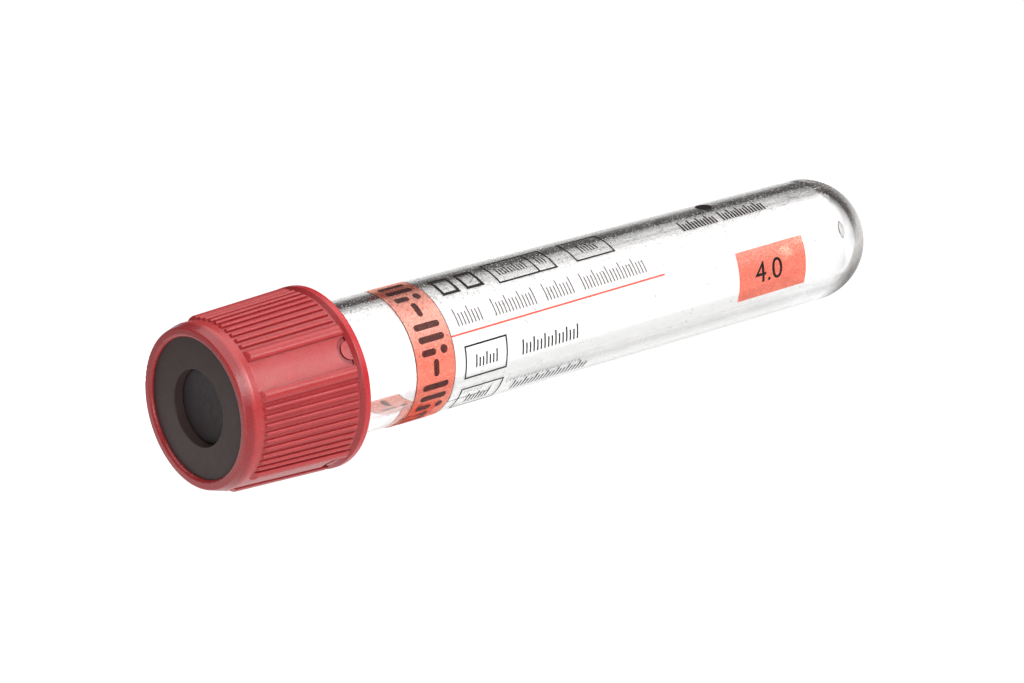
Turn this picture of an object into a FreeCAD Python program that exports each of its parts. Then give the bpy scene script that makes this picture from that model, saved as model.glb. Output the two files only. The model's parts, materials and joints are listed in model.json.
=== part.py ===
"""Blood collection tube lying on its side, closed by its screw cap. Millimetres.

A clear, round-bottomed, moulded tube carries a wrapped film label. Its cap is a ribbed shell that
screws on the tube's neck. Under the cap's lip a retaining ring traps the head of a rubber stopper,
whose plug seals the bore. Turning the cap lifts cap, ring and stopper off the tube together.

Every piece is built along one axis: X runs from the outer face of the retaining ring, where x = 0,
to the round bottom. Angles about that axis start at the top and turn by the right-hand rule about X.
The last step lays the finished tube down on its cap flange and its round bottom.
"""

import FreeCAD, Part
import math
import os

V = FreeCAD.Vector
ORIGIN = V(0, 0, 0)
AXIS = V(1, 0, 0)
UP = V(0, 0, 1)

# Clear tube
TUBE_LENGTH = 75.0
TUBE_RADIUS = 6.47            # outside, at the open rim
TUBE_DRAFT = 0.0035           # radius lost for each millimetre towards the round bottom
TUBE_WALL = 1.0
RIM_ROUND = 0.35
RIM_LEAD_IN = 0.25
GATE_RADIUS = 1.0             # dimple left around the moulding gate
GATE_DEPTH = 0.15
GATE_NUB_RADIUS = 0.35
GATE_NUB_HEIGHT = 0.1

# Screw thread between neck and cap: short lugs outside the neck, ribs inside the cap
THREAD_STARTS = 4
THREAD_LEAD = 10.0            # travel in one full turn
THREAD_BURIED = 0.15          # how deep each thread's root lies in its wall
THREAD_PLAY = 0.12            # along the axis, between a lug and the rib it carries
LUG_HEIGHT = 0.4
LUG_ROOT_WIDTH = 0.9
LUG_TIP_WIDTH = 0.5
LUG_ARC = 40.0
LUG_FROM_RIM = 1.3            # rim to the middle of a lug's near end
CAP_THREAD_GAP = 0.16         # between a cap rib's tip and the neck
CAP_THREAD_ROOT_WIDTH = 0.9
CAP_THREAD_TIP_WIDTH = 0.45
CAP_THREAD_ARC = 70.0
CAP_THREAD_LAG = 10.0         # how far a cap rib starts before its lug

# Retaining ring
RING_THICKNESS = 1.0
RING_HOLE_RADIUS = 3.66       # the needle goes through here
RING_CATCH = 0.22             # how far the lip reaches over the ring
RING_ROUND = 0.1

# Rubber stopper, from its head under the ring to its plug in the bore
HEAD_THICKNESS = 2.22
HEAD_OVERHANG = 0.85          # head past the stem, where the cap's ledge lifts it
BUTTON_INSET = 0.08           # raised centre inside the ring's hole, level with the ring's underside
BUTTON_ROUND = 0.05
DISH_INSET = 0.18             # hollow inside the raised centre's edge
DISH_DEPTH = 0.28
DISH_FLOOR_RADIUS = 1.2
DISH_ROUND = 12.0             # from the hollow's floor to its slope
STEM_LENGTH = 2.2
SEAT_THICKNESS = 2.6          # flange that closes on the tube's rim
SEAT_INSET = 0.05             # seat flange inside the tube's outline
PLUG_LENGTH = 5.8
PLUG_GAP = 0.22               # plug to bore, between its sealing ribs
PLUG_WALL = 1.85
PLUG_ROUND = 0.5
SEAL_RISE = 0.17              # sealing ribs above the plug
SEAL_WIDTH = 1.1
SEAL_ROUND = 0.18
SEAL_FROM_SEAT = (1.3, 3.7)
WELL_ROUND = 1.1              # roof of the hollow that opens under the plug
SEPTUM = 4.3                  # rubber that the needle pierces
RUBBER_ROUND = 0.25

# Cap shell
CAP_WALL = 0.79               # at the plain band, over the thread bore
THREAD_BORE_GAP = 0.28        # tips of the lugs to the cap's bore
THREAD_BORE_LEAD = 0.28       # how far the thread bore starts before the seat's end
SEAT_BORE_GAP = 0.26          # bore around the seat flange, past the tube's outline
LIP_WALL = 1.21               # plain band to the lip's opening
LIP_RISE = 0.42               # lip above the ring's face
LIP_CREST = 0.87              # width of the lip's end
LIP_SHOULDER = 0.75           # where the lip's slope runs into the plain band
LIP_INNER_ROUND = 0.33
LIP_OUTER_ROUND = 0.2
SHOULDER_ROUND = 0.9
SLOPE_START = 1.4
CAP_SLOPE = 0.0385            # radius gained for each millimetre towards the flange
SKIRT = 5.22                  # tube's rim to the open end of the cap
FLANGE_WIDTH = 1.15
FLANGE_RISE = 0.36
FLANGE_STEP = 0.4             # length of the step up to the flange
FLANGE_ROOT_ROUND = 0.1
FLANGE_STEP_ROUND = 0.12
FLANGE_ROUND = 0.25
LEDGE_GAP = 0.42              # inner ledge, which lifts the stopper by its head, to the seat flange
INNER_ROUND = 0.15
MOUTH_LEAD_IN = 0.3

# Grip on the cap: four plain panels, each between two broad ribs, and fine ribs between the panels
PANELS = 4
PANEL_ANGLE = 53.3            # middle of the first panel
BROAD_OFFSET = 14.35          # panel middle to the middle of its broad ribs, degrees
BROAD_WIDTH = 1.09
BROAD_HEIGHT = 0.34
BROAD_SHOULDER = 0.14         # upright foot of its sides, below the round crest
BROAD_END = 0.4               # length of the slope at each end
BROAD_START = 1.47
BROAD_INTO_FLANGE = 0.3       # broad ribs run on past the foot of the flange's step
FINE_COUNT = 9                # between one panel and the next
FINE_PITCH = 5.65             # degrees
FINE_WIDTH = 0.40
FINE_HEIGHT = 0.25
FINE_SHOULDER = 0.05
FINE_END = 0.18
FINE_START = 1.5
FINE_TO_FLANGE = 0.15
RIB_ROOT = 0.3                # how deep a rib's root lies in the shell
MARK_MARGIN = 0.17            # half-round mark at the flange end of each panel, to the broad ribs
MARK_GROOVE = 0.45
MARK_DEPTH = 0.18

# Film label
LABEL_START = 12.3            # from the tube's rim
LABEL_CLEAR = 5.67            # bare wall from the label to the round bottom
LABEL_FROM_ANGLE = -45.0
LABEL_TO_ANGLE = 199.0
LABEL_THICKNESS = 0.08
ADHESIVE = 0.01

# Running clearances
END_PLAY = 0.08               # along the axis
SIDE_PLAY = 0.08              # around turning pieces
SNAP_PLAY = 0.03              # ring in its groove

# Places along the axis
head_top = RING_THICKNESS + END_PLAY
head_end = head_top + HEAD_THICKNESS
stem_end = head_end + STEM_LENGTH
seat_end = stem_end + SEAT_THICKNESS
rim = seat_end + END_PLAY
plug_end = rim + PLUG_LENGTH
cap_end = rim + SKIRT
flange_start = cap_end - FLANGE_WIDTH
tube_end = rim + TUBE_LENGTH

# Radii
bottom_radius = (TUBE_RADIUS - TUBE_DRAFT * TUBE_LENGTH) / (1 - TUBE_DRAFT)
bottom_centre = tube_end - bottom_radius
thread_bore = TUBE_RADIUS + LUG_HEIGHT + THREAD_BORE_GAP
band_radius = thread_bore + CAP_WALL
lip_opening = band_radius - LIP_WALL
ring_radius = lip_opening + RING_CATCH
head_radius = lip_opening - SIDE_PLAY
stem_radius = head_radius - HEAD_OVERHANG
ledge_bore = stem_radius + SIDE_PLAY
seat_bore = TUBE_RADIUS + SEAT_BORE_GAP
seat_radius = TUBE_RADIUS - SEAT_INSET
button_radius = RING_HOLE_RADIUS - BUTTON_INSET
dish_radius = button_radius - DISH_INSET


def tube_radius(x):
    """Outside radius of the tube's drafted wall at x."""
    return TUBE_RADIUS - TUBE_DRAFT * (x - rim)


def shell_radius(x):
    """Radius of the cap's sloping side under its ribs."""
    return band_radius + CAP_SLOPE * max(0.0, x - SLOPE_START)


flange_radius = shell_radius(flange_start) + FLANGE_RISE
plug_radius = TUBE_RADIUS - TUBE_WALL - PLUG_GAP
well_radius = plug_radius - PLUG_WALL
panel_half_width = shell_radius(flange_start) * math.radians(BROAD_OFFSET) - BROAD_WIDTH / 2
mark_radius = panel_half_width - MARK_MARGIN


def outline_face(corners):
    """Face in the XZ plane from corners (x, radius) or (x, radius, rounding)."""
    points = [V(c[0], 0, c[1]) for c in corners]
    roundings = [c[2] if len(c) > 2 else 0.0 for c in corners]
    starts = []
    ends = []
    arcs = []
    for i, corner in enumerate(points):
        before = (points[i - 1] - corner).normalize()
        after = (points[(i + 1) % len(points)] - corner).normalize()
        if not roundings[i]:
            starts.append(corner)
            ends.append(corner)
            arcs.append(None)
            continue
        half = before.getAngle(after) / 2
        reach = roundings[i] / math.tan(half)
        middle = (before + after).normalize()
        centre = corner + middle * (roundings[i] / math.sin(half))
        starts.append(corner + before * reach)
        ends.append(corner + after * reach)
        arcs.append(centre - middle * roundings[i])
    edges = []
    for i in range(len(points)):
        if arcs[i]:
            edges.append(Part.Arc(starts[i], arcs[i], ends[i]).toShape())
        following = starts[(i + 1) % len(points)]
        if (following - ends[i]).Length > 1e-6:
            edges.append(Part.LineSegment(ends[i], following).toShape())
    return Part.Face(Part.Wire(edges))


def turned(corners):
    """Solid of revolution about the axis."""
    return outline_face(corners).revolve(ORIGIN, AXIS, 360)


def thread_ridge(start_x, start_angle, arc, root_radius, tip_radius, root_width, tip_width):
    """One helical ridge of trapezoid section, on a neck if the tip is further out than the root."""
    rise = THREAD_LEAD * arc / 360
    helix = Part.makeHelix(THREAD_LEAD, rise, root_radius)
    section = Part.makePolygon([
        V(root_radius, 0, -root_width / 2),
        V(tip_radius, 0, -tip_width / 2),
        V(tip_radius, 0, tip_width / 2),
        V(root_radius, 0, root_width / 2),
        V(root_radius, 0, -root_width / 2),
    ])
    ridge = Part.Wire(helix.Edges).makePipeShell([section], True, True)
    ridge.rotate(ORIGIN, V(0, 1, 0), 90)
    ridge.rotate(ORIGIN, AXIS, 180 + start_angle)
    ridge.translate(V(start_x, 0, 0))
    return ridge


def buried_width(root_width, tip_width, height):
    """Width of a trapezoid ridge where it is carried on down into its wall."""
    return root_width + (root_width - tip_width) * THREAD_BURIED / height


def start_angles():
    """Angle of each thread start."""
    return [i * 360 / THREAD_STARTS for i in range(THREAD_STARTS)]


def make_tube():
    """Moulded tube: drafted wall, round bottom with its gate mark, and thread lugs on the neck."""
    inner = bottom_radius - TUBE_WALL
    diagonal = math.sqrt(0.5)
    outer_mid = V(bottom_centre + bottom_radius * diagonal, 0, bottom_radius * diagonal)
    inner_mid = V(bottom_centre + inner * diagonal, 0, inner * diagonal)
    outer_start = V(bottom_centre, 0, bottom_radius)
    outer_end = V(tube_end, 0, 0)
    inner_start = V(bottom_centre + inner, 0, 0)
    inner_end = V(bottom_centre, 0, inner)
    bore = TUBE_RADIUS - TUBE_WALL
    rim_corners = [
        V(rim + RIM_LEAD_IN, 0, bore - TUBE_DRAFT * RIM_LEAD_IN),
        V(rim, 0, bore + RIM_LEAD_IN),
        V(rim, 0, TUBE_RADIUS - RIM_ROUND),
        V(rim + RIM_ROUND, 0, tube_radius(rim + RIM_ROUND)),
    ]
    rim_mid = V(rim + RIM_ROUND * (1 - diagonal), 0, TUBE_RADIUS - RIM_ROUND * (1 - diagonal))
    edges = [
        Part.LineSegment(inner_end, rim_corners[0]).toShape(),
        Part.LineSegment(rim_corners[0], rim_corners[1]).toShape(),
        Part.LineSegment(rim_corners[1], rim_corners[2]).toShape(),
        Part.Arc(rim_corners[2], rim_mid, rim_corners[3]).toShape(),
        Part.LineSegment(rim_corners[3], outer_start).toShape(),
        Part.Arc(outer_start, outer_mid, outer_end).toShape(),
        Part.LineSegment(outer_end, inner_start).toShape(),
        Part.Arc(inner_start, inner_mid, inner_end).toShape(),
    ]
    tube = Part.Face(Part.Wire(edges)).revolve(ORIGIN, AXIS, 360)
    dimple_floor = tube_end - GATE_DEPTH
    dimple = Part.makeCylinder(GATE_RADIUS, GATE_DEPTH * 2, V(dimple_floor, 0, 0), AXIS)
    nub = Part.makeCylinder(GATE_NUB_RADIUS, GATE_NUB_HEIGHT, V(dimple_floor, 0, 0), AXIS)
    tube = tube.cut(dimple.cut(nub))
    for angle in start_angles():
        tube = tube.fuse(thread_ridge(
            rim + LUG_FROM_RIM,
            angle,
            LUG_ARC,
            TUBE_RADIUS - THREAD_BURIED,
            TUBE_RADIUS + LUG_HEIGHT,
            buried_width(LUG_ROOT_WIDTH, LUG_TIP_WIDTH, LUG_HEIGHT),
            LUG_TIP_WIDTH,
        ))
    return tube


def make_label():
    """Film wrapped part of the way round the tube."""
    start = rim + LABEL_START
    end = bottom_centre - LABEL_CLEAR
    film = outline_face([
        (start, tube_radius(start) + ADHESIVE),
        (end, tube_radius(end) + ADHESIVE),
        (end, tube_radius(end) + ADHESIVE + LABEL_THICKNESS),
        (start, tube_radius(start) + ADHESIVE + LABEL_THICKNESS),
    ])
    film.rotate(ORIGIN, AXIS, LABEL_FROM_ANGLE)
    return film.revolve(ORIGIN, AXIS, LABEL_TO_ANGLE - LABEL_FROM_ANGLE)


def make_ring():
    """Flat ring snapped under the cap's lip, with the needle's hole."""
    return turned([
        (0, RING_HOLE_RADIUS, RING_ROUND),
        (0, ring_radius, RING_ROUND),
        (RING_THICKNESS, ring_radius, RING_ROUND),
        (RING_THICKNESS, RING_HOLE_RADIUS),
    ])


def seal_corners():
    """Rounded sealing ribs down the plug, from the seat to the plug's end."""
    corners = []
    crest = plug_radius + SEAL_RISE
    for place in SEAL_FROM_SEAT:
        x = rim + place
        corners.append((x - SEAL_WIDTH / 2, plug_radius))
        corners.append((x - SEAL_WIDTH / 4, crest, SEAL_ROUND))
        corners.append((x + SEAL_WIDTH / 4, crest, SEAL_ROUND))
        corners.append((x + SEAL_WIDTH / 2, plug_radius))
    return corners


def make_stopper():
    """Rubber stopper: dished head, stem, seat flange, sealing plug and the well under its septum."""
    well_top = head_top + SEPTUM
    corners = [
        (RING_THICKNESS + DISH_DEPTH, 0),
        (RING_THICKNESS + DISH_DEPTH, DISH_FLOOR_RADIUS, DISH_ROUND),
        (RING_THICKNESS, dish_radius, BUTTON_ROUND),
        (RING_THICKNESS, button_radius, BUTTON_ROUND),
        (head_top, button_radius),
        (head_top, head_radius, RUBBER_ROUND),
        (head_end, head_radius, RUBBER_ROUND),
        (head_end, stem_radius, RUBBER_ROUND),
        (stem_end, stem_radius, RUBBER_ROUND),
        (stem_end, seat_radius, RUBBER_ROUND),
        (seat_end, seat_radius),
        (seat_end, plug_radius),
    ]
    corners += seal_corners()
    corners += [
        (plug_end, plug_radius, PLUG_ROUND),
        (plug_end, well_radius, RUBBER_ROUND),
        (well_top, well_radius, WELL_ROUND),
        (well_top, 0),
    ]
    return turned(corners)


def prism(corners, along):
    """Solid with flat sides: an outline extruded along a vector."""
    return Part.Face(Part.makePolygon(corners + corners[:1])).extrude(along)


def rib(length, width, height, shoulder, end, start):
    """Straight rib on the cap's side at the top: a round crest that slopes down at both ends."""
    half = width / 2
    crest = Part.Arc(V(0, -half, shoulder), V(0, 0, height), V(0, half, shoulder)).toShape()
    sides = Part.makePolygon([
        V(0, half, shoulder),
        V(0, half, -RIB_ROOT),
        V(0, -half, -RIB_ROOT),
        V(0, -half, shoulder),
    ])
    bar = Part.Face(Part.Wire([crest] + sides.Edges)).extrude(V(length, 0, 0))
    clear = 2                 # the slopes run on past the crest by this factor
    side_view = prism([
        V(0, -width, -2 * RIB_ROOT),
        V(0, -width, 0),
        V(clear * end, -width, clear * height),
        V(length - clear * end, -width, clear * height),
        V(length, -width, 0),
        V(length, -width, -2 * RIB_ROOT),
    ], V(0, 2 * width, 0))
    bar = bar.common(side_view)
    bar.rotate(ORIGIN, V(0, 1, 0), -math.degrees(math.atan(CAP_SLOPE)))
    bar.translate(V(start, 0, shell_radius(start)))
    return bar


def copy_at(shape, angle):
    """Copy of a shape turned about the axis."""
    turned_copy = shape.copy()
    turned_copy.rotate(ORIGIN, AXIS, angle)
    return turned_copy


def panel_angles():
    """Middle of each plain panel."""
    return [PANEL_ANGLE + i * 360 / PANELS for i in range(PANELS)]


def cap_ribs():
    """Broad ribs beside each panel, and the fine ribs between panels."""
    broad_length = flange_start + BROAD_INTO_FLANGE - BROAD_START
    fine_length = flange_start - FINE_TO_FLANGE - FINE_START
    broad = rib(broad_length, BROAD_WIDTH, BROAD_HEIGHT, BROAD_SHOULDER, BROAD_END, BROAD_START)
    fine = rib(fine_length, FINE_WIDTH, FINE_HEIGHT, FINE_SHOULDER, FINE_END, FINE_START)
    ribs = []
    for panel in panel_angles():
        ribs.append(copy_at(broad, panel - BROAD_OFFSET))
        ribs.append(copy_at(broad, panel + BROAD_OFFSET))
        field_middle = panel + 180 / PANELS
        for i in range(FINE_COUNT):
            ribs.append(copy_at(fine, field_middle + (i - (FINE_COUNT - 1) / 2) * FINE_PITCH))
    return ribs


def panel_mark():
    """Cutter for the half-round groove at the top, following the sloping side."""
    low = shell_radius(flange_start - mark_radius) - CAP_WALL
    height = 2 * CAP_WALL
    centre = V(flange_start, 0, low)
    groove = Part.makeCylinder(mark_radius, height, centre)
    groove = groove.cut(Part.makeCylinder(mark_radius - MARK_GROOVE, height, centre))
    beyond = V(flange_start, -2 * mark_radius, low)
    groove = groove.cut(Part.makeBox(2 * mark_radius, 4 * mark_radius, height, beyond))
    under = turned([
        (0, 0),
        (0, shell_radius(0) - MARK_DEPTH),
        (SLOPE_START, shell_radius(SLOPE_START) - MARK_DEPTH),
        (cap_end, shell_radius(cap_end) - MARK_DEPTH),
        (cap_end, 0),
    ])
    return groove.cut(under)


def shell_corners():
    """Section of the cap's shell: outside from the lip to the flange, then inside back to the lip."""
    ledge_start = head_end + END_PLAY
    ledge_end = stem_end - LEDGE_GAP
    groove_end = RING_THICKNESS + SNAP_PLAY
    bore_start = seat_end - THREAD_BORE_LEAD
    groove_radius = ring_radius + SNAP_PLAY
    return [
        (-LIP_RISE, lip_opening, LIP_INNER_ROUND),
        (-LIP_RISE, lip_opening + LIP_CREST, LIP_OUTER_ROUND),
        (LIP_SHOULDER, band_radius, SHOULDER_ROUND),
        (SLOPE_START, band_radius),
        (flange_start, shell_radius(flange_start), FLANGE_ROOT_ROUND),
        (flange_start + FLANGE_STEP, flange_radius, FLANGE_STEP_ROUND),
        (cap_end, flange_radius, FLANGE_ROUND),
        (cap_end, thread_bore + MOUTH_LEAD_IN),
        (cap_end - MOUTH_LEAD_IN, thread_bore),
        (bore_start, thread_bore, INNER_ROUND),
        (bore_start, seat_bore),
        (ledge_end, seat_bore, INNER_ROUND),
        (ledge_end, ledge_bore, INNER_ROUND),
        (ledge_start, ledge_bore, INNER_ROUND),
        (ledge_start, lip_opening),
        (groove_end, lip_opening),
        (groove_end, groove_radius),
        (-SNAP_PLAY, groove_radius),
        (-SNAP_PLAY, lip_opening),
    ]


def make_cap():
    """Ribbed screw cap with its lip, its inner ledge and its thread."""
    cap = turned(shell_corners())
    cap = cap.fuse(cap_ribs())
    mark = panel_mark()
    for panel in panel_angles():
        cap = cap.cut(copy_at(mark, panel))
    tip = TUBE_RADIUS + CAP_THREAD_GAP
    height = thread_bore - tip
    lug_slope = (LUG_ROOT_WIDTH - LUG_TIP_WIDTH) / 2 / LUG_HEIGHT
    lug_half_width = LUG_ROOT_WIDTH / 2 - lug_slope * CAP_THREAD_GAP
    behind_lug = lug_half_width + CAP_THREAD_TIP_WIDTH / 2 + THREAD_PLAY
    start = rim + LUG_FROM_RIM + behind_lug - THREAD_LEAD * CAP_THREAD_LAG / 360
    for angle in start_angles():
        cap = cap.fuse(thread_ridge(
            start,
            angle - CAP_THREAD_LAG,
            CAP_THREAD_ARC,
            thread_bore + THREAD_BURIED,
            tip,
            buried_width(CAP_THREAD_ROOT_WIDTH, CAP_THREAD_TIP_WIDTH, height),
            CAP_THREAD_TIP_WIDTH,
        ))
    return cap


def resting_tilt():
    """Angle at which the cap's flange and the round bottom both touch a flat surface."""
    edge_x = cap_end - FLANGE_ROUND
    edge_radius = flange_radius - FLANGE_ROUND
    run = bottom_centre - edge_x
    reach = math.hypot(run, edge_radius)
    drop = bottom_radius - FLANGE_ROUND
    return math.degrees(math.atan2(edge_radius, run) - math.asin(drop / reach))


def main():
    """Makes the pieces, lays them down together and writes one file for each."""
    pieces = {
        "tube": make_tube(),
        "label": make_label(),
        "cap": make_cap(),
        "ring": make_ring(),
        "stopper": make_stopper(),
    }
    tilt = resting_tilt()
    for piece in pieces.values():
        piece.rotate(ORIGIN, V(0, 1, 0), tilt)
    box = Part.makeCompound(list(pieces.values())).optimalBoundingBox(False, False)
    shift = V(-(box.XMin + box.XMax) / 2, 0, -box.ZMin)
    os.makedirs("parts", exist_ok=True)
    for name, piece in pieces.items():
        piece.translate(shift)
        piece.exportStep("parts/" + name + ".step")
        print(name, "valid", piece.isValid(), "solids", len(piece.Solids), "volume", round(piece.Volume, 3))
    print("tilt", tilt, "shift", shift.x, shift.z, "size", box.XLength, box.YLength, box.ZLength)
    print("rim", rim, "plug end", plug_end, "tube end", tube_end, "bottom radius", bottom_radius)


main()
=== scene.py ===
"""Blood collection tube: finish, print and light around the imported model.

Places on the tube are given as (x, angle, radius) in millimetres and degrees. x runs along the
tube's axis from the retaining ring's outer face to the round bottom. Angles start at the top and
turn towards the camera's side. Print is drawn flat as (x, y) in millimetres, y running round the
tube, and then wrapped. Pairs of values that the tube's materials fade between are in millimetres
too, unless they say otherwise.
"""

import bmesh
import bpy
import json
import math
import random
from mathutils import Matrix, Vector


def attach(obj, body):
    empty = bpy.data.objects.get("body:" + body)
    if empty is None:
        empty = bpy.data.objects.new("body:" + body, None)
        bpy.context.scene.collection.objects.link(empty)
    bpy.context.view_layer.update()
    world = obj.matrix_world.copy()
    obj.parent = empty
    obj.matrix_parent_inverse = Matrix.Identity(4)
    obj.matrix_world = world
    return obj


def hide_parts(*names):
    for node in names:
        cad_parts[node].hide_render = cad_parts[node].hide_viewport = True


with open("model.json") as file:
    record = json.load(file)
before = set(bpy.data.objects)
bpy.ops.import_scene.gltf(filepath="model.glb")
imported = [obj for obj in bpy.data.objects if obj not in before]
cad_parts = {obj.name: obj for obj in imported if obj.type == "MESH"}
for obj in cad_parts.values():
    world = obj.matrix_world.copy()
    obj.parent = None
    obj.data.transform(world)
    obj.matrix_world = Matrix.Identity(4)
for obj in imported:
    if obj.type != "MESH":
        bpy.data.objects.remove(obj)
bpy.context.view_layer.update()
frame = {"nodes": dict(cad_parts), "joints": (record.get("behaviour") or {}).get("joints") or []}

MM = 0.001

# Clear tube, as the frame's node is made
TUBE_RADIUS = 6.47
TUBE_DRAFT = 0.0035
TUBE_WALL = 1.0
RIM_ROUND = 0.35
RIM_LEAD_IN = 0.25
NECK_LENGTH = 3.6               # part with the lugs, which has its rings of points closer together
GATE_RADIUS = 1.0
GATE_DEPTH = 0.15
GATE_NUB_RADIUS = 0.35
GATE_NUB_HEIGHT = 0.1
THREAD_STARTS = 4
THREAD_LEAD = 10.0
LUG_HEIGHT = 0.4
LUG_ROOT_WIDTH = 0.9
LUG_TIP_WIDTH = 0.5
LUG_ARC = 40.0
LUG_FROM_RIM = 1.3
LUG_END_ARC = 2.0
TUBE_SIDES = 288
RIM_STEPS = 5                   # rings of points along each part of its outline
NECK_STEPS = 34
WALL_STEPS = 60
BOTTOM_STEPS = 40
BORE_BOTTOM_STEPS = 45

# Red cap's outside
CAP_RADIUS = 7.94               # plain band at its lip
CAP_SLOPE_START = 1.4
CAP_SLOPE = 0.0385
CAP_SLOPE_RUN = 20.0            # longer than the cap
GROOVE_DEPTH = (0.05, 0.14)     # from the lip of the mark's groove to its full painted shade
INSIDE_DEPTH = (0.3, 0.35)      # the cap's inside begins here, and isn't shaded as a groove
GROOVE_SHADE_SHARE = 0.25             # painted shade: part of the plain red that is left in the groove
FLANGE_SHADE = (11.95, 12.15)   # painted shade of the step up to the flange, by distance from the ring's face
# painted shade: where the flange's deeper red begins, by distance from the ring's face
FLANGE_START = (12.55, 12.75)
STEP_SHADE_SHARE = 0.6                # painted shade: part of the plain red that is left on the step

# Label film, and the print on it
FILM_START = 20.48
FILM_END = 71.28
FILM_ANGLES = (-45.0, 199.0)
BAND_ENDS = (20.52, 25.25)
BAND_ANGLES = (-15.0, 199.0)
FILM_EDGE_LINE = (20.49, 20.6)
BAND_EDGE_LINE = (25.21, 25.28)
CORNER = 1.0                    # rounded corner of the film and its band
FILM_GAP = 0.01
FILM_THICKNESS = 0.08
INK_GAP = 0.004
INK_THICKNESS = 0.012
SECOND_INK = 0.008              # lines along the edges, over the band
THIRD_INK = SECOND_INK + INK_THICKNESS  # marks over the salmon band and field
PRINT_SKEW = -0.0114            # millimetres round the tube for each millimetre along it
WRAP_STEP = 2.0                 # degrees between the folds of a wrapped sheet
SHORT_BAR = 0.72                # height of a short bar in a row, as a share of a tall one's
FILM_TONE = (0.9, 0.9, 0.9)
FILM_TINT = (0.99, 0.99, 0.988)
SALMON_TONE = (0.7, 0.22, 0.18)
SALMON_DEEP = (0.97, 0.48, 0.4)  # tint of the light that gets through it
# painted highlight and reflection: the paler tint of the band where light falls on it
SALMON_LIT_PALE = (0.985, 0.74, 0.67)
SALMON_HIGHLIGHT_FADE = (1.5, 4.6)        # painted highlight: from deep to pale, by height over the axis
SALMON_REFLECTION_FADE = (0.0, -3.0)   # and a painted reflection, paler again below it
INK_TINT = (0.9, 0.7, 0.68)     # light that gets through the dark inks

# Dried coat in the bore: haze and small beads, and a grey streak of painted shade on the bore
MOUTH_HAZE = 0.05
BORE_HAZE = 0.055
BOTTOM_HAZE = 0.14
HAZE_GROWTH = (18.0, 26.0)      # the coat thickens away from the mouth
HAZE_BOTTOM = (75.5, 78.5)      # and has a haze of its own at the round bottom
LOW_SIDE_SHARE = 1.2            # it is thicker on the tube's lower side
LOW_SIDE_FADE = (0.0, 4.0)      # by height over the axis
SMEAR_SHADE_START = (0.7, 1.3)        # painted shade, a grey streak beside the top of the bore: its two sides, by distance sideways
SMEAR_SHADE_END = (1.75, 3.0)
SMEAR_SHADE_UPPER = (0.0, 2.0)        # by height over the axis
SMEAR_SHADE_GROWTH = (17.0, 24.0)     # along the tube
SMEAR_SHADE_GREY = (0.36, 0.33, 0.32)
BEAD_SIDES = 6
BEAD_SHOULDER = (0.75, 0.66)    # shares of a bead's radius and height
BEAD_RADII = (0.028, 0.085)
BEAD_SLENDERNESS = 0.7          # height, as a share of the radius
BEAD_REACH = (14.5, 80.5)
BEAD_SINK = 0.01
BEAD_COUNT = 3600
BAND_OF_BEADS = (9, 11)         # middle and spread, as angles
CLUSTERS = 110
CLUSTER_ANGLES = (-90, 270)
CLUSTER_BEADS = (3, 16)
CLUSTER_SPREAD = (1.2, 9)       # along the tube, and as an angle
COAT_EDGE = ((71.4, 20), (72.4, 21), (73.2, 12), (74.3, 15), (75.3, 9), (76.5, 11), (78.0, 8))
COAT_EDGE_PITCH = 0.05          # between the beads along the coat's uneven edge
COAT_EDGE_BEAD = (0.06, 0.05)   # their radius and height
COAT_EDGE_WANDER = 0.4          # and how far they stray, as an angle

# Outside of the clear wall: painted shade on the round bottom's edge, a painted shadow line low on the
# wall, and the gate mark
TUBE_IOR = 1.575
EDGE_FULL = (0.45, 0.48)        # by how slantwise the wall is seen: 0 is square on and 1 edge on
EDGE_FAINT = (0.35, 0.38)       # a faint start, further in
EDGE_FAINT_SHARE = 0.12
EDGE_GROWTH = (75.5, 78.0)      # along the tube
EDGE_LOWER = (1.0, -3.0)        # from the paler painted shade to the deeper one, by height over the axis
# painted shade: greys on the round bottom's edge where the wall is seen slantwise
EDGE_SHADE_GREY = (0.57, 0.55, 0.54)
EDGE_LOW_SHADE_GREY = (0.12, 0.11, 0.105)
EDGE_SHADE_COAT = (0.88, 0.87, 0.86)  # painted shade as the tint of a thin coat on the same edge, above and below
EDGE_LOW_SHADE_COAT = (0.6, 0.585, 0.575)
SHADOW_LINE_TOP = (-2.1, -3.0)         # painted shadow: a faint grey line low on the wall, where the tube's shadow on the table shows through: its two sides, by height over the axis
SHADOW_LINE_BASE = (-3.5, -4.4)
SHADOW_LINE_SIDE = (0.0, 2.0)          # by distance towards the camera's side
SHADOW_LINE_GROWTH = (26.0, 38.0)      # along the tube
SHADOW_LINE_GREY = (0.5, 0.5, 0.5)
GATE_GROWTH = (80.0, 81.0)      # along the tube
GATE_SHADE_START = (0.2, 0.8)   # these and the frost's end go by distance from the axis
GATE_SHADE_END = (1.05, 1.15)
GATE_MIDDLE_SHARE = 0.35
GATE_GREY = (0.6, 0.53, 0.51)
GATE_FROST = 0.4
GATE_FROST_END = (0.9, 1.15)

# Other colours
WHITE = (1.0, 1.0, 1.0)
BEAD_WHITE = (0.92, 0.92, 0.93)
CAP_REDS = ((0.3, 0.021, 0.023), (0.4, 0.032, 0.034))
# painted shade: deeper red on the flange, which catches no sheen
FLANGE_SHADE_RED = (0.42, 0.014, 0.019)
# painted shade in the cap's hollows, its mark's groove and on the flange's step
CAP_SHADE_RED = (0.19, 0.007, 0.011)
RING_BLACKS = ((0.048, 0.03, 0.029), (0.064, 0.042, 0.041))
STOPPER_GREYS = ((0.03, 0.022, 0.023), (0.04, 0.031, 0.033))

# Camera, in millimetres and degrees
VIEW_TARGET = (-3.33717, 0.0, 5.61603)
VIEW_AZIMUTH = 40.846
VIEW_ELEVATION = 22.387
VIEW_DISTANCE = 443.234
LENS = 161.476
SENSOR_WIDTH = 36.0

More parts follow.
